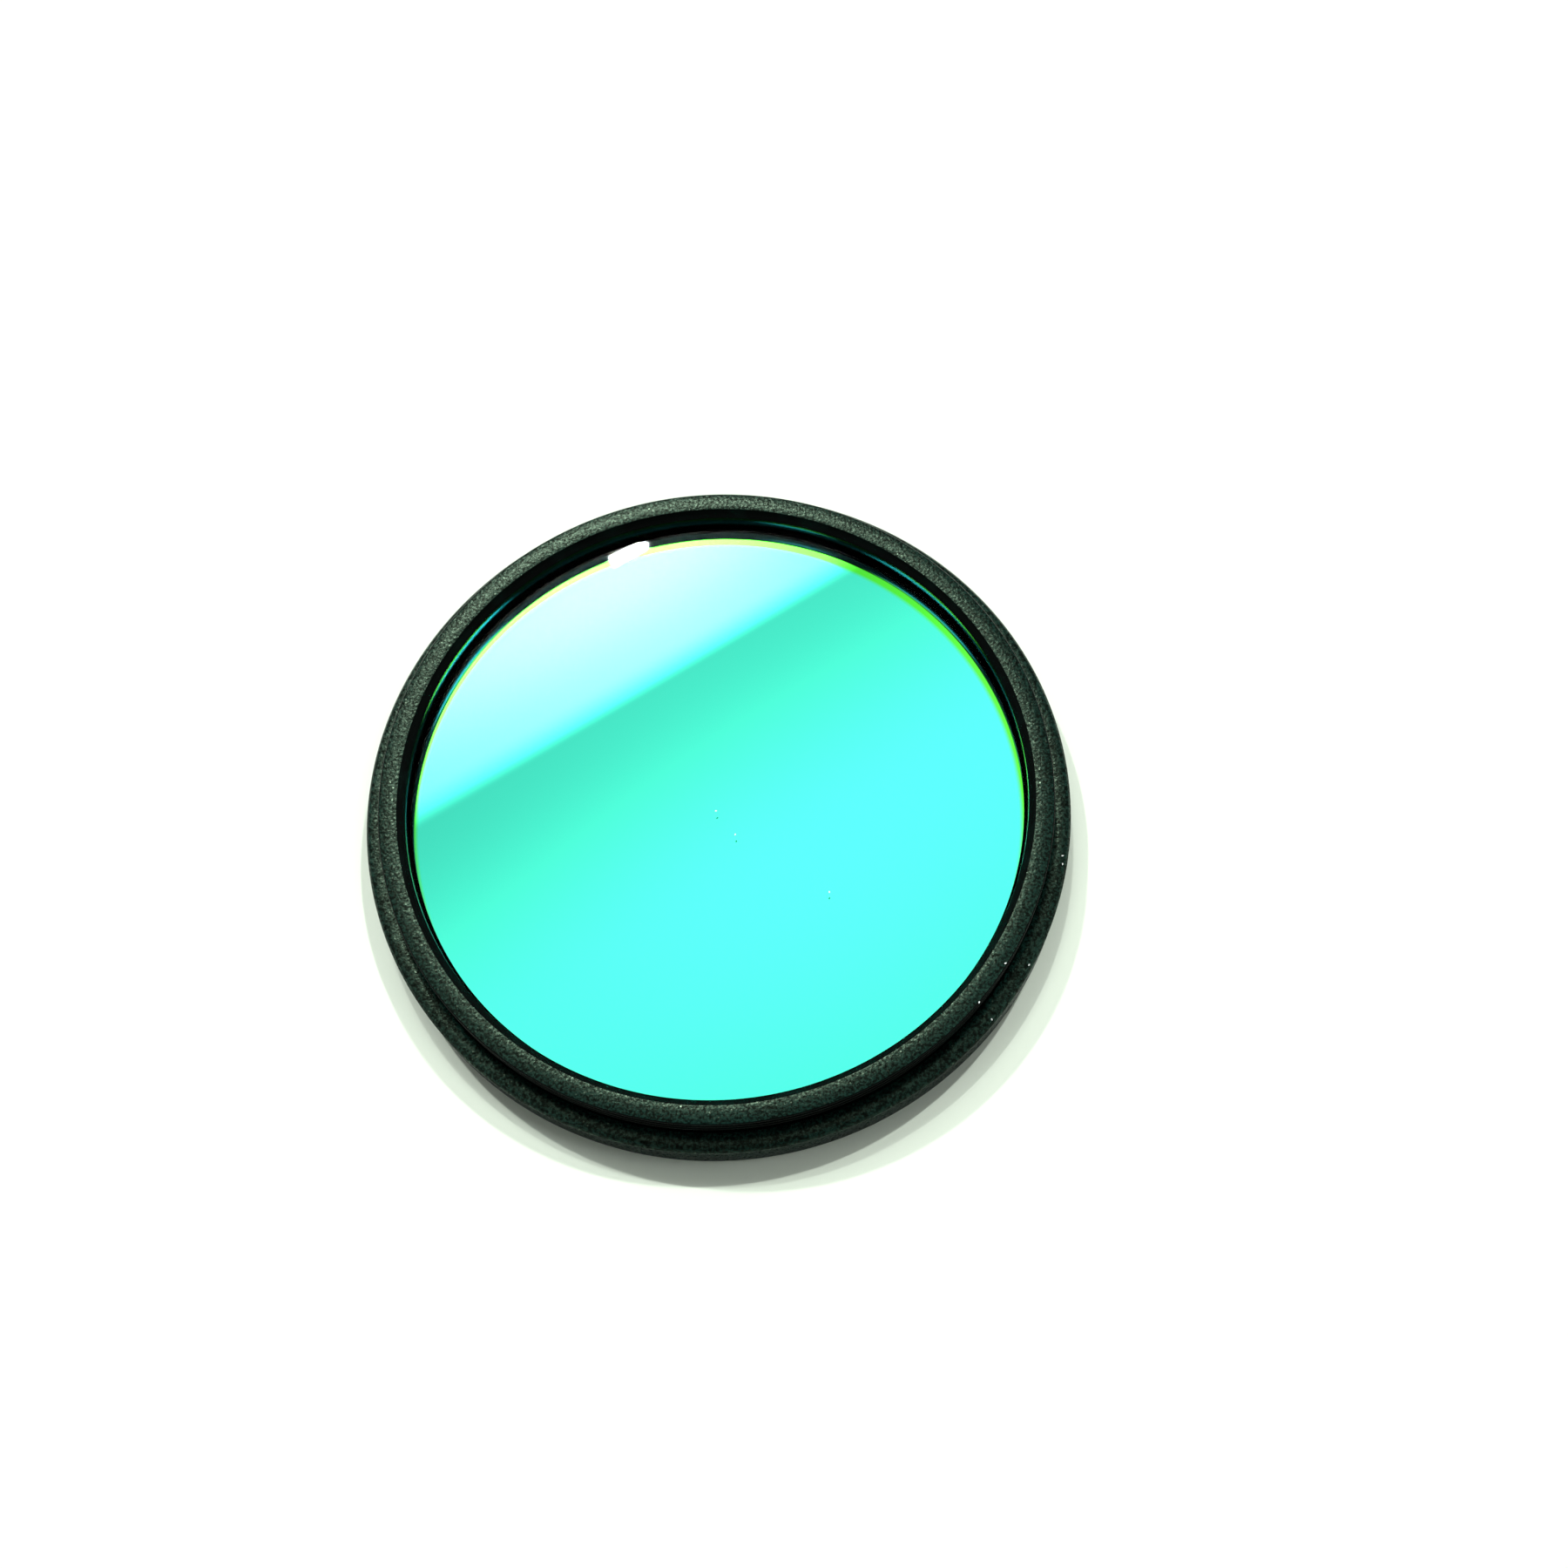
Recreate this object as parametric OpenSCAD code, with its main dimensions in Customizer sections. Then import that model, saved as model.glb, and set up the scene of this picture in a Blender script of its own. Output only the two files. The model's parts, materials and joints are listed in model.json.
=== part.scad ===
// Screw-in bandpass filter in a slim turned cell, lying on its flange.
// Millimetres. +Z runs along the optical axis, from the flange's seating
// face at z = 0 up to the end of the male thread.

/* [Threads] */
// Nominal diameter of the male thread and of the female thread under it
thread_d = 48; // [30:0.5:82]
// Pitch of both threads
thread_pitch = 0.75; // [0.5:0.05:1]
// Length of the male thread section above the flange
thread_len = 2.35; // [2:0.05:4]
// Width of the groove that each thread runs out into
runout_w = 0.4; // [0.2:0.05:0.6]
// How far each runout groove clears its thread, and the face beside it
runout_gap = 0.05; // [0.02:0.01:0.1]
// Lead-in chamfer on the end of the male thread
lead_in = 0.1; // [0.05:0.01:0.3]

/* [Flange] */
// How far the flange stands out past the male thread
flange_w = 1.4; // [1:0.1:4]
// Depth of the female thread's socket, from the seating face to its floor
socket_depth = 2.4; // [2:0.05:5]
// Height of solid flange between the socket's floor and the flange's top
web_h = 0.8; // [0.5:0.05:2]
// Chamfer on both outer edges of the flange
flange_edge = 0.2; // [0.05:0.01:0.4]

/* [Glass seat] */
// Wall between the male thread's crest and the bore that the glass drops into
seat_wall = 1.2; // [1:0.05:2]
// How far the lip reaches in past that bore, over the face of the glass
lip_w = 0.6; // [0.3:0.05:1.5]
// Width of the chamfer at the mouth of the clear aperture
rim_chamfer_w = 0.46; // [0.1:0.01:0.6]
// Height of that chamfer
rim_chamfer_h = 0.55; // [0.1:0.01:0.7]

/* [Glass] */
// Thickness of the filter glass
glass_t = 1.1; // [0.7:0.05:1.3]
// Clearance round the edge of the glass in its bore
glass_gap = 0.1; // [0.05:0.01:0.2]
// Ground bevel on both edges of the glass
glass_bevel = 0.15; // [0.05:0.01:0.3]

/* [Retaining ring] */
// Radial width of the ring that screws in below the glass
ring_w = 0.8; // [0.5:0.05:2]
// Thickness of the ring
ring_h = 0.55; // [0.45:0.01:0.7]
// Chamfer on the ring's lower inner edge
ring_edge = 0.12; // [0.05:0.01:0.2]
// Width of the two spanner slots across the ring's lower face
slot_w = 1.6; // [1:0.1:3]
// Depth of the spanner slots
slot_depth = 0.3; // [0.15:0.01:0.35]

/* [Hidden] */
$fn = 180;

// Thread form: a sharp 60 degree V cut back by the usual flats, so the
// screw's root and the hole's crest stand this many pitches off the nominal
male_root_pitches = 0.6134;
female_crest_pitches = 0.5413;

// Radii, from the thread inwards and outwards
male_r = thread_d / 2;
male_root_r = male_r - male_root_pitches * thread_pitch;
male_runout_r = male_root_r - runout_gap;
female_crest_r = male_r - female_crest_pitches * thread_pitch;
female_runout_r = male_r + runout_gap;
flange_r = male_r + flange_w;
bore_r = male_r - seat_wall;
aperture_r = bore_r - lip_w;
glass_r = bore_r - glass_gap;
ring_in_r = bore_r - ring_w;

// Heights, stacked up from the seating face: the ring's lower face is flush
// with the socket's floor, and it presses the glass up against the lip
mouth_h = female_runout_r - female_crest_r;
flange_top = socket_depth + web_h;
ring_z = socket_depth;
glass_z = ring_z + ring_h;
lip_z = glass_z + glass_t;
cell_top = flange_top + thread_len;

// How far a cutter runs past the face that it opens
overcut = 1;

// The turned cell in half section, from the axis side out
module cell_section() {
    difference() {
        polygon([
            [aperture_r, 0],
            [flange_r - flange_edge, 0],
            [flange_r, flange_edge],
            [flange_r, flange_top - flange_edge],
            [flange_r - flange_edge, flange_top],
            [male_r + runout_gap, flange_top],
            [male_r + runout_gap, flange_top - runout_gap],
            [male_runout_r, flange_top - runout_gap],
            [male_runout_r, flange_top + runout_w],
            [male_r, flange_top + runout_w],
            [male_r, cell_top - lead_in],
            [male_r - lead_in, cell_top],
            [aperture_r + rim_chamfer_w, cell_top],
            [aperture_r, cell_top - rim_chamfer_h]
        ]);
        seat_section();
        socket_section();
    }
}

// Bore that takes the glass and, below it, the retaining ring
module seat_section() {
    translate([aperture_r - overcut, socket_depth - overcut])
        square([lip_w + overcut, lip_z - socket_depth + overcut]);
}

// Socket of the female thread: countersunk mouth, crest, runout groove, floor
module socket_section() {
    polygon([
        [aperture_r - overcut, -overcut],
        [female_runout_r + overcut, -overcut],
        [female_runout_r, 0],
        [female_crest_r, mouth_h],
        [female_crest_r, socket_depth - runout_w],
        [female_runout_r, socket_depth - runout_w],
        [female_runout_r, socket_depth],
        [aperture_r - overcut, socket_depth]
    ]);
}

// One-piece cell: male thread end, lip, glass seat, flange and female socket
module filter_cell() {
    color([0.12, 0.14, 0.14])
        rotate_extrude()
            cell_section();
}

// Coated filter disc, bevelled on both edges, seated up against the lip
module filter_glass() {
    color([0.3, 0.95, 0.85])
        translate([0, 0, glass_z])
            rotate_extrude()
                polygon([
                    [0, 0],
                    [glass_r - glass_bevel, 0],
                    [glass_r, glass_bevel],
                    [glass_r, glass_t - glass_bevel],
                    [glass_r - glass_bevel, glass_t],
                    [0, glass_t]
                ]);
}

// Threaded ring below the glass, with two spanner slots across its lower face
module retaining_ring() {
    color([0.09, 0.1, 0.1])
        translate([0, 0, ring_z])
            difference() {
                rotate_extrude()
                    polygon([
                        [ring_in_r + ring_edge, 0],
                        [bore_r, 0],
                        [bore_r, ring_h],
                        [ring_in_r, ring_h],
                        [ring_in_r, ring_edge]
                    ]);
                translate([-bore_r - overcut, -slot_w / 2, -overcut])
                    cube([2 * (bore_r + overcut), slot_w, slot_depth + overcut]);
            }
}

filter_cell();
filter_glass();
retaining_ring();
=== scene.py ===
# Screw-in bandpass filter lying on its flange on a white table, seen from above its near side.
# Metres, in the frame of the turned solids: the origin is the centre of the seating face, +Z is up.
import json
import math

import bmesh
import bpy
from mathutils import Euler, Matrix, Vector


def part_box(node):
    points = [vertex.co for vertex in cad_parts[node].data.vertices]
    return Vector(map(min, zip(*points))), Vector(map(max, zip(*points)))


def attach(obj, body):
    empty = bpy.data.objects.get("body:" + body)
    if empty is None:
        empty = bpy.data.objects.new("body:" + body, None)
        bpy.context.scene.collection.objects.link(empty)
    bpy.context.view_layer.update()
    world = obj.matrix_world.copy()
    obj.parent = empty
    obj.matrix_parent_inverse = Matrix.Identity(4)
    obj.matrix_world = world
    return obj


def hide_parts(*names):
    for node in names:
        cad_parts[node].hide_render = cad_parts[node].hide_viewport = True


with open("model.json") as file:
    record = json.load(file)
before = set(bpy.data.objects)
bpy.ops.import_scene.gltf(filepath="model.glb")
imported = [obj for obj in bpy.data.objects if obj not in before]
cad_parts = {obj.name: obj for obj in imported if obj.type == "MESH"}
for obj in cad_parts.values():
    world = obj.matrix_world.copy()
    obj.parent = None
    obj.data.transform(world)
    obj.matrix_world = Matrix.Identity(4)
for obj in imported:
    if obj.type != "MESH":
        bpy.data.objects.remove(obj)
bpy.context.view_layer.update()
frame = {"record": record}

# Threaded cell. One ring turned from aluminium bar, with a male thread above the flange and a female
# thread up inside it. Its outer faces are bead-blasted, while the chamfer, the lip, the bores and the
# threads keep the smoother finish of the tool, and all of it is then anodised black.
mm = 0.001
mounts = {mount["name"]: mount for mount in frame["record"]["mounts"]}
cell_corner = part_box("filter_cell")[1]
glass_low, glass_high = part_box("filter_glass")
ring_low, ring_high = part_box("retaining_ring")

thread_r = mounts["male_thread"]["dims"]["r_mm"] * mm
hole_r = mounts["female_thread"]["dims"]["r_mm"] * mm
flange_r = cell_corner.x
bore_r = ring_high.x
cell_top = cell_corner.z
flange_top = mounts["thread_shoulder"]["pos_m"][2]
socket_floor = ring_low.z
lip_z = glass_high.z

pitch = 0.75 * mm
flank_angle = math.radians(30)
screw_root_pitches = 0.6134
screw_crest_flat = pitch / 8
screw_groove_depth = screw_root_pitches * pitch
hole_crest_flat = pitch / 4
hole_groove_depth = thread_r - hole_r
runout_w = 0.4 * mm
runout_gap = 0.05 * mm
lead_in = 0.1 * mm
lip_w = 0.6 * mm
rim_chamfer_w = 0.46 * mm
rim_chamfer_h = 0.55 * mm
flange_edge = 0.2 * mm

aperture_r = bore_r - lip_w
screw_runout_r = thread_r - screw_groove_depth - runout_gap
socket_r = thread_r + runout_gap
mouth_h = socket_r - hole_r
screw_start = flange_top + runout_w
screw_end = cell_top - lead_in
hole_end = socket_floor - runout_w

edge_break = 0.02 * mm
thread_row = pitch / 20
thread_fade = 0.25 * mm
turning_steps = 360
touching = 0.001 * mm
merging = touching / 10
nearly_level = 0.1

cell_section = [
    (aperture_r, lip_z), (aperture_r, cell_top - rim_chamfer_h),
    (aperture_r + rim_chamfer_w, cell_top), (thread_r - lead_in, cell_top),
    (thread_r, screw_end), (thread_r, screw_start),
    (screw_runout_r, screw_start), (screw_runout_r, flange_top - runout_gap),
    (socket_r, flange_top - runout_gap), (socket_r, flange_top),
    (flange_r - flange_edge, flange_top), (flange_r, flange_top - flange_edge),
    (flange_r, flange_edge), (flange_r - flange_edge, 0),
    (socket_r, 0), (hole_r, mouth_h),
    (hole_r, hole_end), (socket_r, hole_end),
    (socket_r, socket_floor), (bore_r, socket_floor), (bore_r, lip_z)]


def draw_section(corners, corner_break):
    """The half section on the XZ plane as a closed line, with every corner broken by a small bevel."""
    section = bmesh.new()
    points = [section.verts.new((radius, 0, height)) for radius, height in corners]
    for start, end in zip(points, points[1:] + points[:1]):
        section.edges.new((start, end))
    bmesh.ops.bevel(section, geom=points, offset=corner_break, offset_type='OFFSET', segments=2,
                    profile=0.5, affect='VERTICES', material=-1)
    return section


def cut_rows(section, start, end, row):
    """Cuts the straight stretch of the section between two of its corners into short rows."""
    low, high = Vector((start[0], 0, start[1])), Vector((end[0], 0, end[1]))
    along = (high - low).normalized()

    def off_line(point):
        return (point - low).cross(along).length

    wall = [edge for edge in section.edges
            if all(off_line(vert.co) < touching for vert in edge.verts) and edge.calc_length() > row]
    length = sum(edge.calc_length() for edge in wall)
    bmesh.ops.subdivide_edges(section, edges=wall, cuts=round(length / row) - 1)


def turn(section):
    """Sweeps the section once round the optical axis and points its faces outwards."""
    bmesh.ops.spin(section, geom=section.verts[:] + section.edges[:], cent=(0, 0, 0), axis=(0, 0, 1),
                   dvec=(0, 0, 0), angle=2 * math.pi, steps=turning_steps, use_merge=True)
    bmesh.ops.remove_doubles(section, verts=section.verts[:], dist=merging)
    bmesh.ops.recalc_face_normals(section, faces=section.faces[:])


def groove_depth(point, crest_flat, full_depth):
    """How deep a right-hand 60 degree thread of this pitch is cut at a point's angle and height."""
    turns = point.z / pitch - math.atan2(point.y, point.x) / (2 * math.pi)
    from_middle = abs((turns + 0.5) % 1 - 0.5) * pitch
    flank_depth = (pitch / 2 - crest_flat / 2 - from_middle) / math.tan(flank_angle)
    return min(max(flank_depth, 0), full_depth)


sharp_angle = math.radians(35)


def finish_piece(shape, name, finishes, finish_of, node):
    """Makes the piece's object, gives its faces their finishes and has it stand for its solid."""
    for edge in shape.edges:
        edge.smooth = edge.calc_face_angle(0) < sharp_angle
    for face in shape.faces:
        face.smooth = True
        face.material_index = finish_of(face)
    mesh = bpy.data.meshes.new(name)
    shape.to_mesh(mesh)
    shape.free()
    for finish in finishes:
        mesh.materials.append(finish)
    piece = bpy.data.objects.new(name, mesh)
    bpy.context.collection.objects.link(piece)
    shading = piece.modifiers.new("flat faces stay flat", 'WEIGHTED_NORMAL')
    shading.keep_sharp = True
    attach(piece, "root")
    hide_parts(node)


def add_node(tree, kind, inputs=None, **settings):
    """A shader node with its settings, and with each input given a value or a link."""
    node = tree.nodes.new(kind)
    for setting, value in settings.items():
        setattr(node, setting, value)
    for socket, value in (inputs or {}).items():
        if isinstance(value, bpy.types.NodeSocket):
            tree.links.new(value, node.inputs[socket])
        else:
            node.inputs[socket].default_value = value
    return node


def calculate(tree, operation, first, second=0.0):
    """One step of arithmetic between two values or links."""
    return add_node(tree, 'ShaderNodeMath', {0: first, 1: second}, operation=operation).outputs[0]


def start_group(name, numbers):
    """An empty shader group with these numbers as its inputs. Returns its tree and the inputs."""
    group = bpy.data.node_groups.new(name, 'ShaderNodeTree')
    for label, default in numbers.items():
        socket = group.interface.new_socket(label, in_out='INPUT', socket_type='NodeSocketFloat')
        socket.default_value = default
    return group, add_node(group, 'NodeGroupInput').outputs


def end_group(group, results):
    """Gives the group its outputs, each a colour or a number."""
    for label, (kind, link) in results.items():
        group.interface.new_socket(label, in_out='OUTPUT', socket_type=kind)
    add_node(group, 'NodeGroupOutput', {label: link for label, (kind, link) in results.items()})


def start_material(name):
    """An empty material with its output. Returns the material, its tree and the output."""
    material = bpy.data.materials.new(name)
    material.use_nodes = True
    material.node_tree.nodes.clear()
    return material, material.node_tree, add_node(material.node_tree, 'ShaderNodeOutputMaterial')


dye_dark = (0.001, 0.0022, 0.0017, 1)
dye_light = (0.0042, 0.0205, 0.0155, 1)
dye_cloud = 2.5 * mm

# The dyed oxide film: near black with a green cast, a little uneven over a few millimetres
film, film_inputs = start_group("dyed oxide film", {"Speckle": 0.0})
film_place = add_node(film, 'ShaderNodeTexCoord').outputs['Object']
film_cloud = add_node(film, 'ShaderNodeTexNoise', {
    'Vector': film_place, 'Scale': 1 / dye_cloud, 'Detail': 3.0})
film_mix = calculate(film, 'ADD', film_cloud.outputs['Fac'], film_inputs['Speckle'])
film_color = add_node(film, 'ShaderNodeMix', {
    0: film_mix, 'A': dye_dark, 'B': dye_light}, data_type='RGBA')
end_group(film, {"Color": ('NodeSocketColor', film_color.outputs[2])})

bead_pit = 0.2 * mm
bead_fine = 0.09 * mm
bead_glint = 0.28 * mm
fine_share = 0.6
blotch_size = bead_pit / 0.9
facet_core, facet_edge = 0.12, 0.3
facet_rare = 0.72

# Blasted grain: overlapping shallow pits, each about the size that one glass bead leaves, and a few
# facets that catch the light
grain, grain_inputs = start_group("bead-blasted grain", {
    "Pit size": bead_pit, "Fine size": bead_fine, "Blotch size": blotch_size, "Glint size": bead_glint})
grain_place = add_node(grain, 'ShaderNodeTexCoord').outputs['Object']
pits = add_node(grain, 'ShaderNodeTexVoronoi', {
    'Vector': grain_place, 'Scale': calculate(grain, 'DIVIDE', 1.0, grain_inputs['Pit size'])},
    feature='SMOOTH_F1')
fine = add_node(grain, 'ShaderNodeTexNoise', {
    'Vector': grain_place, 'Scale': calculate(grain, 'DIVIDE', 1.0, grain_inputs['Fine size']),
    'Detail': 2.0})
grain_height = calculate(grain, 'ADD', pits.outputs['Distance'],
                         calculate(grain, 'MULTIPLY', fine.outputs['Fac'], fine_share))
blotch = add_node(grain, 'ShaderNodeTexNoise', {
    'Vector': grain_place, 'Scale': calculate(grain, 'DIVIDE', 1.0, grain_inputs['Blotch size']),
    'Detail': 4.0, 'Roughness': 0.75})
facets = add_node(grain, 'ShaderNodeTexVoronoi', {
    'Vector': grain_place, 'Scale': calculate(grain, 'DIVIDE', 1.0, grain_inputs['Glint size'])})
facet_spot = add_node(grain, 'ShaderNodeMapRange', {
    'Value': facets.outputs['Distance'], 'From Min': facet_edge, 'From Max': facet_core})
facet_pick = add_node(grain, 'ShaderNodeMapRange', {
    'Value': add_node(grain, 'ShaderNodeSeparateXYZ', {0: facets.outputs['Color']}).outputs['X'],
    'From Min': facet_rare, 'From Max': 1.0})
glint = calculate(grain, 'MULTIPLY', facet_spot.outputs[0], facet_pick.outputs[0])
end_group(grain, {"Height": ('NodeSocketFloat', grain_height),
                  "Blotch": ('NodeSocketFloat', blotch.outputs['Fac']),
                  "Glint": ('NodeSocketFloat', glint)})

tool_feed = 0.09 * mm
wander_per_turn = 0.35

# Tool rings: the fine spiral that the lathe leaves, which runs round the axis on every face
rings, rings_inputs = start_group("lathe tool rings", {"Feed": tool_feed})
rings_place = add_node(rings, 'ShaderNodeSeparateXYZ', {
    0: add_node(rings, 'ShaderNodeTexCoord').outputs['Object']}).outputs
rings_radius = calculate(rings, 'SQRT', calculate(
    rings, 'ADD', calculate(rings, 'MULTIPLY', rings_place['X'], rings_place['X']),
    calculate(rings, 'MULTIPLY', rings_place['Y'], rings_place['Y'])))
rings_travel = calculate(rings, 'DIVIDE', calculate(rings, 'ADD', rings_radius, rings_place['Z']),
                         rings_inputs['Feed'])
rings_wander = add_node(rings, 'ShaderNodeTexNoise', {
    'W': calculate(rings, 'MULTIPLY', rings_travel, wander_per_turn), 'Scale': 1.0, 'Detail': 2.0},
    noise_dimensions='1D')
rings_wave = calculate(rings, 'SINE', calculate(rings, 'MULTIPLY', rings_travel, 2 * math.pi))
rings_height = calculate(rings, 'MULTIPLY', rings_wave, rings_wander.outputs['Fac'])
end_group(rings, {"Height": ('NodeSocketFloat', rings_height),
                  "Wander": ('NodeSocketFloat', rings_wander.outputs['Fac'])})

blotch_low, blotch_high = 0.4, 0.62
satin_start = 0.38
satin_rough, satin_smooth = 0.29, 0.23
glint_gain = 2.5
bead_depth = 0.014 * mm
sheen_tint = (0.68, 1, 0.68, 1)


def blasted_anodise(name, sheen_low, sheen_high, unevenness):
    """Black anodise over a blasted face, this uneven in colour, its shine between these two levels."""
    material, tree, end = start_material(name)
    beads = add_node(tree, 'ShaderNodeGroup', node_tree=grain)
    speckle = add_node(tree, 'ShaderNodeMapRange', {
        'Value': beads.outputs['Blotch'], 'From Min': blotch_low, 'From Max': blotch_high,
        'To Min': -unevenness, 'To Max': unevenness})
    skin = add_node(tree, 'ShaderNodeGroup', {'Speckle': speckle.outputs[0]}, node_tree=film)
    satin = add_node(tree, 'ShaderNodeMapRange', {
        'Value': beads.outputs['Blotch'], 'From Min': satin_start, 'From Max': blotch_high,
        'To Min': satin_rough, 'To Max': satin_smooth})
    sheen = add_node(tree, 'ShaderNodeMapRange', {
        'Value': beads.outputs['Blotch'], 'From Min': blotch_low, 'From Max': blotch_high,
        'To Min': sheen_low, 'To Max': sheen_high})
    shine = calculate(tree, 'ADD', sheen.outputs[0], calculate(
        tree, 'MULTIPLY', beads.outputs['Glint'], glint_gain * sheen_high))
    bump = add_node(tree, 'ShaderNodeBump', {
        'Height': beads.outputs['Height'], 'Strength': 1.0, 'Distance': bead_depth})
    surface = add_node(tree, 'ShaderNodeBsdfPrincipled', {
        'Base Color': skin.outputs['Color'], 'Roughness': satin.outputs[0],
        'Normal': bump.outputs[0], 'Specular IOR Level': shine, 'Specular Tint': sheen_tint})
    tree.links.new(surface.outputs[0], end.inputs[0])
    return material


smooth_speckle = -0.5
roughness_swing = 0.2
wander_low, wander_high = 0.3, 0.7


def turned_anodise(name, roughness, shine, ring_depth):
    """Black anodise over a turned face, this rough and glossy, with tool rings of this depth."""
    material, tree, end = start_material(name)
    marks = add_node(tree, 'ShaderNodeGroup', node_tree=rings)
    skin = add_node(tree, 'ShaderNodeGroup', {'Speckle': smooth_speckle}, node_tree=film)
    satin = add_node(tree, 'ShaderNodeMapRange', {
        'Value': marks.outputs['Wander'], 'From Min': wander_low, 'From Max': wander_high,
        'To Min': roughness * (1 - roughness_swing), 'To Max': roughness * (1 + roughness_swing)})
    bump = add_node(tree, 'ShaderNodeBump', {
        'Height': marks.outputs['Height'], 'Strength': 1.0, 'Distance': ring_depth})
    surface = add_node(tree, 'ShaderNodeBsdfPrincipled', {
        'Base Color': skin.outputs['Color'], 'Roughness': satin.outputs[0],
        'Normal': bump.outputs[0], 'Specular IOR Level': shine})
    tree.links.new(surface.outputs[0], end.inputs[0])
    return material


blasted = blasted_anodise("black anodise, bead-blasted", sheen_low=0.05, sheen_high=0.36, unevenness=0.85)
matte = blasted_anodise("black anodise, matte edge", sheen_low=0.0, sheen_high=0.02, unevenness=0.25)
turned = turned_anodise("black anodise, turned", roughness=0.24, shine=0.05, ring_depth=0.0006 * mm)
bored = turned_anodise("black anodise, bored smooth", roughness=0.15, shine=0.8, ring_depth=0.0001 * mm)

cell_shape = draw_section(cell_section, edge_break)
cut_rows(cell_shape, (thread_r, screw_start), (thread_r, screw_end), thread_row)
cut_rows(cell_shape, (socket_r, 0), (hole_r, mouth_h), thread_row)
cut_rows(cell_shape, (hole_r, mouth_h), (hole_r, hole_end), thread_row)
turn(cell_shape)

for vert in cell_shape.verts:
    radius = vert.co.xy.length
    if radius > screw_runout_r + touching and vert.co.z > screw_start - touching:
        fade = min(max((screw_end - vert.co.z) / thread_fade, 0), 1)
        cut_r = thread_r - fade * groove_depth(vert.co, screw_crest_flat, screw_groove_depth)
        vert.co.xy *= min(radius, cut_r) / radius
    if hole_r - edge_break < radius < socket_r - touching and vert.co.z < hole_end + touching:
        cut_r = hole_r + groove_depth(vert.co, hole_crest_flat, hole_groove_depth)
        vert.co.xy *= max(radius, cut_r) / radius


def cell_finish(face):
    """0 on the flat faces, 1 on the flange's edge, 2 in threads and on the chamfer, 3 inside the lip."""
    middle = face.calc_center_median()
    radius = middle.xy.length
    upright = abs(face.normal.z) < nearly_level
    if radius > socket_r + touching:
        return 1 if upright else 0
    if upright and abs(radius - aperture_r) < edge_break:
        return 3
    return 0 if middle.z > cell_top - edge_break and radius > aperture_r + rim_chamfer_w else 2


finish_piece(cell_shape, "threaded_cell", [blasted, matte, turned, bored], cell_finish,
             "filter_cell")

# Coated disc. Round filter glass with ground bevels, polished, held up against the cell's lip. Thin
# layers on its lower face mirror teal light up through the glass and the anti-reflection coat on top.
# They sit a little off centre, so a yellow-green crescent shows where they thin out by the edge.
glass_r = glass_high.x
glass_bevel = 0.15 * mm
glass_section = [
    (0, glass_low.z), (glass_r - glass_bevel, glass_low.z), (glass_r, glass_low.z + glass_bevel),
    (glass_r, glass_high.z - glass_bevel), (glass_r - glass_bevel, glass_high.z), (0, glass_high.z)]

glass_index = 1.52
upper_coat = (0.028, 0.042, 0.03, 1)
coating_teal = (0.076, 0.957, 0.68, 1)
coating_fringe = (0.1, 0.92, 0.05, 1)
coating_edge = (0.03, 0.72, 0.75, 1)

# The crescent starts and ends on two circles, each given by its centre's x and y and by the two radii
# that the change runs between
fringe_starts = (0.1 * mm, -1.05 * mm, 21.56 * mm, 21.86 * mm)
fringe_ends = (0.12 * mm, -0.6 * mm, 21.92 * mm, 22.04 * mm)

clear, clear_tree, clear_end = start_material("clear glass, polished")
clear_skin = add_node(clear_tree, 'ShaderNodeBsdfPrincipled', {
    'Base Color': (1, 1, 1, 1), 'Roughness': 0.0, 'IOR': glass_index, 'Transmission Weight': 1.0,
    'Specular Tint': upper_coat})
clear_tree.links.new(clear_skin.outputs[0], clear_end.inputs[0])

coating, coating_tree, coating_end = start_material("teal interference coating")
coating_place = add_node(coating_tree, 'ShaderNodeSeparateXYZ', {
    0: add_node(coating_tree, 'ShaderNodeTexCoord').outputs['Object']}).outputs


def off_centre_step(centre_x, centre_y, inner, outer):
    """0 inside a circle about this place on the disc, 1 outside it, changing between two radii."""
    from_x = calculate(coating_tree, 'SUBTRACT', coating_place['X'], centre_x)
    from_y = calculate(coating_tree, 'SUBTRACT', coating_place['Y'], centre_y)
    distance = calculate(coating_tree, 'SQRT', calculate(
        coating_tree, 'ADD', calculate(coating_tree, 'MULTIPLY', from_x, from_x),
        calculate(coating_tree, 'MULTIPLY', from_y, from_y)))
    return add_node(coating_tree, 'ShaderNodeMapRange', {
        'Value': distance, 'From Min': inner, 'From Max': outer}).outputs[0]


coating_fades = add_node(coating_tree, 'ShaderNodeMix', {
    0: off_centre_step(*fringe_starts), 'A': coating_teal, 'B': coating_fringe}, data_type='RGBA')
coating_color = add_node(coating_tree, 'ShaderNodeMix', {
    0: off_centre_step(*fringe_ends), 'A': coating_fades.outputs[2], 'B': coating_edge}, data_type='RGBA')
coating_skin = add_node(coating_tree, 'ShaderNodeBsdfPrincipled', {
    'Base Color': coating_color.outputs[2], 'Metallic': 1.0, 'Roughness': 0.0})
coating_tree.links.new(coating_skin.outputs[0], coating_end.inputs[0])

facing_down = -0.99
disc_shape = draw_section(glass_section, 0)
axis_edge = [edge for edge in disc_shape.edges if all(abs(vert.co.x) < touching for vert in edge.verts)]
bmesh.ops.delete(disc_shape, geom=axis_edge, context='EDGES')
turn(disc_shape)


def disc_finish(face):
    """1 on the coated lower face, 0 on the clear glass all round it."""
    return 1 if face.normal.z < facing_down else 0


finish_piece(disc_shape, "coated_disc", [clear, coating], disc_finish, "filter_glass")

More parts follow.
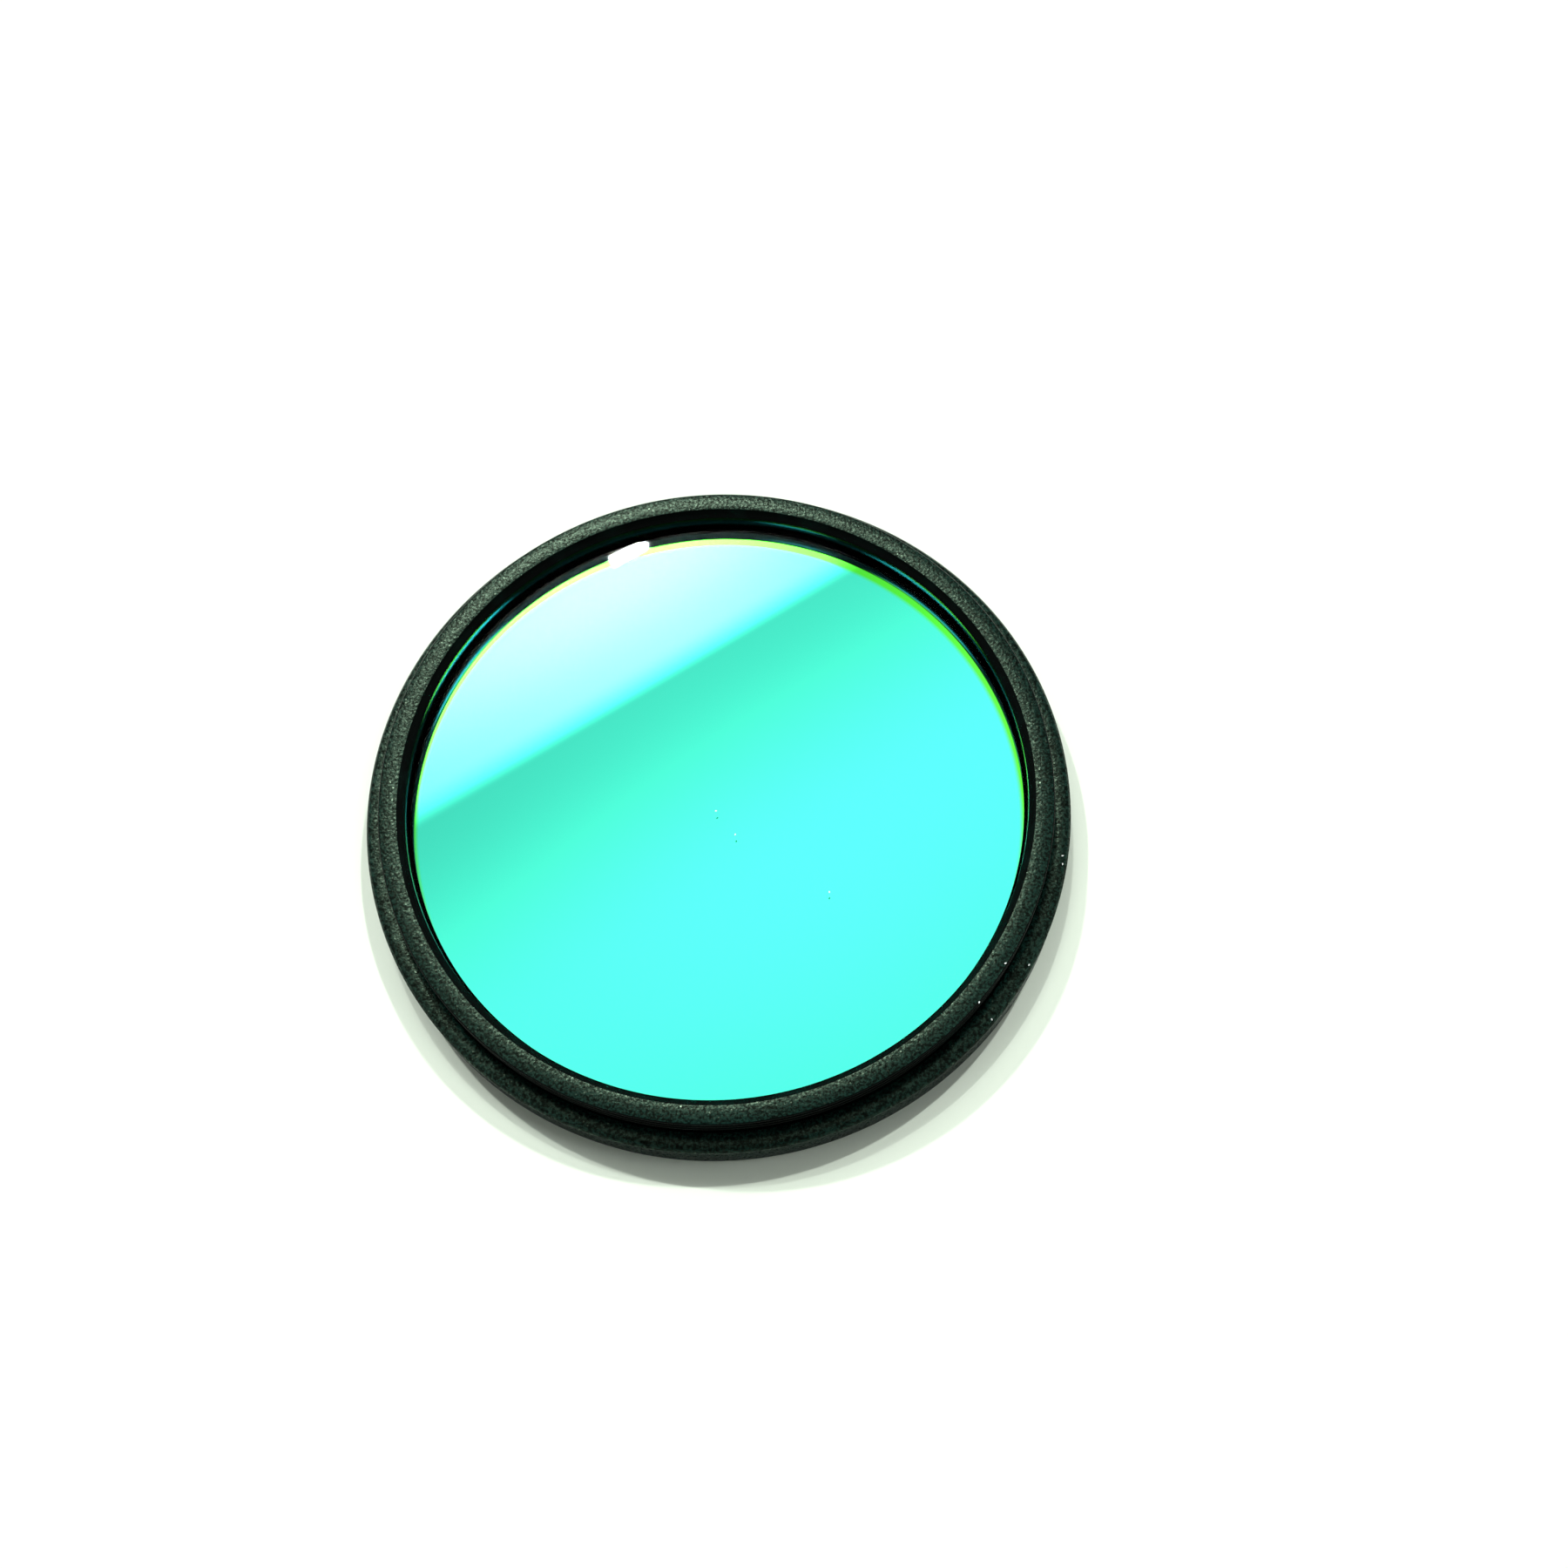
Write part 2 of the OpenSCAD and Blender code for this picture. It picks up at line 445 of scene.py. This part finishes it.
# Dust. Pale flecks of lint on the upper glass, where each shows again in the coating below, and on the
# near right of the cell's rim and flange. They only lie there.
lint_length = 0.17 * mm
lint_width = 0.1 * mm
lint_height = 0.03 * mm
lint_fuzz_size = 0.03 * mm
lint_dull = (0.62, 0.7, 0.66, 1)
lint_pale = (0.9, 0.95, 0.92, 1)

# Each fleck's x and y, the face that it lies on and the way that it is turned, in radians
lint_places = [
    (0.00 * mm, -1.26 * mm, lip_z, 0.3),
    (1.41 * mm, -3.05 * mm, lip_z, 1.1),
    (8.10 * mm, -7.33 * mm, lip_z, 1.5),
    (20.05 * mm, -12.89 * mm, cell_top, 0.4),
    (18.19 * mm, -15.61 * mm, cell_top, 1.2),
    (24.60 * mm, -4.32 * mm, flange_top, 0.2),
    (24.57 * mm, -4.94 * mm, flange_top, 1.4),
    (21.91 * mm, -12.32 * mm, flange_top, 0.8),
    (19.21 * mm, -16.19 * mm, flange_top, 1.9)]

lint, lint_tree, lint_end = start_material("pale lint")
lint_fuzz = add_node(lint_tree, 'ShaderNodeTexNoise', {
    'Vector': add_node(lint_tree, 'ShaderNodeTexCoord').outputs['Object'], 'Scale': 1 / lint_fuzz_size})
lint_color = add_node(lint_tree, 'ShaderNodeMix', {
    0: lint_fuzz.outputs['Fac'], 'A': lint_dull, 'B': lint_pale}, data_type='RGBA')
lint_skin = add_node(lint_tree, 'ShaderNodeBsdfPrincipled', {
    'Base Color': lint_color.outputs[2], 'Roughness': 0.9})
lint_tree.links.new(lint_skin.outputs[0], lint_end.inputs[0])

lint_shape = bmesh.new()
for lint_x, lint_y, lint_floor, lint_turn in lint_places:
    lie = Matrix.LocRotScale(
        (lint_x, lint_y, lint_floor + lint_height / 2), Euler((0, 0, lint_turn)),
        (lint_length / 2, lint_width / 2, lint_height / 2))
    bmesh.ops.create_icosphere(lint_shape, subdivisions=2, radius=1.0, matrix=lie)
lint_mesh = bpy.data.meshes.new("lint")
lint_shape.to_mesh(lint_mesh)
lint_shape.free()
lint_mesh.materials.append(lint)
lint_flecks = bpy.data.objects.new("lint", lint_mesh)
bpy.context.collection.objects.link(lint_flecks)
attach(lint_flecks, "root")

# Spanner ring. A thin threaded ring, turned and dyed black, screwed up into the bore from below to
# hold the glass against the lip. A spanner turns it by the two slots across its lower face.
ring_w = 0.8 * mm
ring_in_r = bore_r - ring_w
ring_edge = 0.12 * mm
slot_w = 1.6 * mm
slot_depth = 0.3 * mm
ring_section = [(ring_in_r + ring_edge, ring_low.z), (bore_r, ring_low.z), (bore_r, ring_high.z),
                (ring_in_r, ring_high.z), (ring_in_r, ring_low.z + ring_edge)]
ring_finish = turned_anodise("black anodise, fine turned", roughness=0.3, shine=0.3, ring_depth=0.001 * mm)

ring_shape = draw_section(ring_section, edge_break)
turn(ring_shape)
slot_top = ring_low.z + slot_depth
slot_faces = [
    ((0, slot_w / 2, 0), (0, 1, 0)), ((0, -slot_w / 2, 0), (0, 1, 0)), ((0, 0, slot_top), (0, 0, 1))]
for plane_place, plane_facing in slot_faces:
    bmesh.ops.bisect_plane(ring_shape, geom=ring_shape.verts[:] + ring_shape.edges[:] + ring_shape.faces[:],
                           dist=merging, plane_co=plane_place, plane_no=plane_facing)


def in_slot(face):
    """Whether this face of the turned ring lies inside either slot."""
    middle = face.calc_center_median()
    return abs(middle.y) < slot_w / 2 and middle.z < slot_top - touching


bmesh.ops.delete(ring_shape, geom=[face for face in ring_shape.faces if in_slot(face)], context='FACES')
for side in (1, -1):
    slot_rims = [edge for edge in ring_shape.edges if edge.is_boundary and
                 all(abs(vert.co.z - slot_top) < touching and vert.co.x * side > 0 for vert in edge.verts)]
    bmesh.ops.bridge_loops(ring_shape, edges=slot_rims)
bmesh.ops.holes_fill(ring_shape, edges=[edge for edge in ring_shape.edges if edge.is_boundary])
bmesh.ops.recalc_face_normals(ring_shape, faces=ring_shape.faces[:])
finish_piece(ring_shape, "spanner_ring", [ring_finish], lambda face: 0, "retaining_ring")

# Table. A plain white top, far larger than the view, which keeps the filter's shadow. The camera and
# the polished faces see it a touch paler than the soft light that it sends back.
table_size = 4.0
table_seen_color = (0.76, 0.86, 0.73, 1)
table_bounce_color = (0.7, 0.8, 0.66, 1)

table_paint, table_tree, table_end = start_material("white table top")
table_rays = add_node(table_tree, 'ShaderNodeLightPath').outputs
table_seen = calculate(table_tree, 'ADD', table_rays['Is Camera Ray'], calculate(
    table_tree, 'ADD', table_rays['Is Glossy Ray'], table_rays['Is Transmission Ray']))
table_color = add_node(table_tree, 'ShaderNodeMix', {
    0: table_seen, 'A': table_bounce_color, 'B': table_seen_color}, data_type='RGBA')
table_skin = add_node(table_tree, 'ShaderNodeBsdfDiffuse', {'Color': table_color.outputs[2]})
table_tree.links.new(table_skin.outputs[0], table_end.inputs[0])

table_shape = bmesh.new()
bmesh.ops.create_grid(table_shape, x_segments=1, y_segments=1, size=table_size / 2)
table_mesh = bpy.data.meshes.new("table_top")
table_shape.to_mesh(table_mesh)
table_shape.free()
table_mesh.materials.append(table_paint)
table_top = bpy.data.objects.new("table_top", table_mesh)
bpy.context.collection.objects.link(table_top)

# Light. A large soft window high on the far left, a pale ceiling above it, three softboxes and a pale
# wall all round near the horizon, and the rest dim. Two lamps beyond the far side throw the hard
# shadows, and a small bright bulb between them glints at the far edge of the disc.
studio = bpy.data.worlds.new("studio")
studio.use_nodes = True
bpy.context.scene.world = studio
room = studio.node_tree
room.nodes.clear()
room_end = add_node(room, 'ShaderNodeOutputWorld')
room_dir = add_node(room, 'ShaderNodeTexCoord').outputs['Generated']
room_up = add_node(room, 'ShaderNodeSeparateXYZ', {0: room_dir}).outputs['Z']


def soft_step(value, start, end, low=0.0, high=1.0):
    """A smooth change from low to high as the value goes from start to end."""
    return add_node(room, 'ShaderNodeMapRange', {
        'Value': value, 'From Min': start, 'From Max': end, 'To Min': low, 'To Max': high},
        interpolation_type='SMOOTHSTEP').outputs[0]


def product(*factors):
    """The factors, each a value or a link, multiplied together."""
    result = factors[0]
    for factor in factors[1:]:
        result = calculate(room, 'MULTIPLY', result, factor)
    return result


lowest_rise = 0.02


def slope_along(axis):
    """How far a direction leans along a level axis for each unit that it rises."""
    lean = add_node(room, 'ShaderNodeVectorMath', {0: room_dir, 1: axis}, operation='DOT_PRODUCT')
    rise = calculate(room, 'MAXIMUM', room_up, lowest_rise)
    return calculate(room, 'DIVIDE', lean.outputs['Value'], rise)


def round_light(azimuth, elevation, core, edge, strength):
    """A soft round light on the sky, even to its core and gone at its edge, angles in degrees."""
    across, rise = math.radians(azimuth), math.radians(elevation)
    centre = (math.cos(rise) * math.cos(across), math.cos(rise) * math.sin(across), math.sin(rise))
    nearness = add_node(room, 'ShaderNodeVectorMath', {0: room_dir, 1: centre}, operation='DOT_PRODUCT')
    return soft_step(nearness.outputs['Value'], math.cos(math.radians(edge)), math.cos(math.radians(core)),
                     0.0, strength)


# Level directions towards the window and along its sill. The edges of the window and the ceiling are
# slopes, and each soft step turns a glow up or down between two of them.
window_out = (-0.55, 0.835, 0)
window_along = (0.835, 0.55, 0)
to_window = slope_along(window_out)
across_window = slope_along(window_along)
window_dim, window_bright, window_low_gain = 4.4, 9.0, 1.6
window_left_share = 0.3
window_glow = product(
    soft_step(to_window, 0.451, 0.474), soft_step(to_window, 0.46, 0.54, window_dim, window_bright),
    soft_step(to_window, 0.54, 0.62, 1.0, window_low_gain), soft_step(to_window, 0.68, 0.85, 1.0, 0.0),
    soft_step(across_window, -0.12, 0.2, window_left_share, 1.0), soft_step(across_window, -0.16, -0.1),
    soft_step(across_window, 0.2, 0.5, 1.0, 0.0))

to_right = slope_along((1, 0, 0))
to_far = slope_along((0, 1, 0))
ceiling_glow, ceiling_by_window = 1.42, 0.8
ceiling_overhead_share, ceiling_left_share = 0.75, 0.85
ceiling = product(
    soft_step(to_window, 0.31, 0.46, ceiling_glow, ceiling_by_window),
    soft_step(to_window, 0.1, 0.3, ceiling_overhead_share, 1.0),
    soft_step(across_window, -0.1, 0.2, ceiling_left_share, 1.0),
    soft_step(to_far, 0.04, 0.2), soft_step(to_far, 0.7, 0.8, 1.0, 0.0),
    soft_step(to_right, -0.4, -0.3), soft_step(to_right, 0.13, 0.25, 1.0, 0.0))

right_box = round_light(azimuth=4, elevation=61, core=6, edge=10, strength=6.0)
left_box = round_light(azimuth=187, elevation=62, core=5, edge=10, strength=3.0)
near_box = round_light(azimuth=238, elevation=60, core=3, edge=7, strength=2.0)

wall_glow, room_dark = 0.5, 0.05
wall_low, wall_high = math.sin(math.radians(16)), math.sin(math.radians(28))
room_light = soft_step(room_up, wall_low, wall_high, wall_glow, room_dark)
for glow in (window_glow, ceiling, right_box, left_box, near_box):
    room_light = calculate(room, 'ADD', room_light, glow)

room_glow = add_node(room, 'ShaderNodeBackground', {'Color': (1, 1, 1, 1), 'Strength': room_light})
room_white = add_node(room, 'ShaderNodeBackground', {'Color': (1, 1, 1, 1), 'Strength': 1.0})
room_seen = add_node(room, 'ShaderNodeMixShader', {
    0: add_node(room, 'ShaderNodeLightPath').outputs['Is Camera Ray'],
    1: room_glow.outputs[0], 2: room_white.outputs[0]})
room.links.new(room_seen.outputs[0], room_end.inputs[0])


def hang_lamp(name, place, length, width, power, glints):
    """A flat lamp that faces the filter, its length along the sill, and may glint. Metres and watts."""
    lamp_data = bpy.data.lights.new(name, 'AREA')
    lamp_data.shape = 'RECTANGLE'
    lamp_data.size = length
    lamp_data.size_y = width
    lamp_data.energy = power
    lamp = bpy.data.objects.new(name, lamp_data)
    back = Vector(place).normalized()
    upward = back.cross(Vector(window_along)).normalized()
    lamp.matrix_world = Matrix.LocRotScale(
        Vector(place), Matrix((upward.cross(back), upward, back)).transposed(), None)
    lamp.visible_glossy = glints
    bpy.context.collection.objects.link(lamp)


hang_lamp("left_lamp", (-1.0, 1.24, 2.0), length=0.06, width=0.06, power=26, glints=False)
hang_lamp("right_lamp", (0.65, 1.13, 2.0), length=0.06, width=0.06, power=25, glints=False)
hang_lamp("bulb", (-0.2768, 1.1462, 2.0), length=0.055, width=0.016, power=12, glints=True)

# Camera. Held close above the near side, a little to the right, where the far rim shows its inner
# wall and the disc mirrors the room's far side.
camera_place = (8.547 * mm, -45.910 * mm, 120.358 * mm)
camera_turn = (21.897, 1.574, 0.632)
camera_lens = 40.108
camera_sensor = 36
nearest_seen = 1 * mm

camera_data = bpy.data.cameras.new("camera")
camera_data.lens = camera_lens
camera_data.sensor_width = camera_sensor
camera_data.clip_start = nearest_seen
camera = bpy.data.objects.new("camera", camera_data)
camera.location = camera_place
camera.rotation_euler = [math.radians(angle) for angle in camera_turn]
bpy.context.collection.objects.link(camera)
bpy.context.scene.camera = camera
bpy.context.scene.view_settings.view_transform = 'Standard'
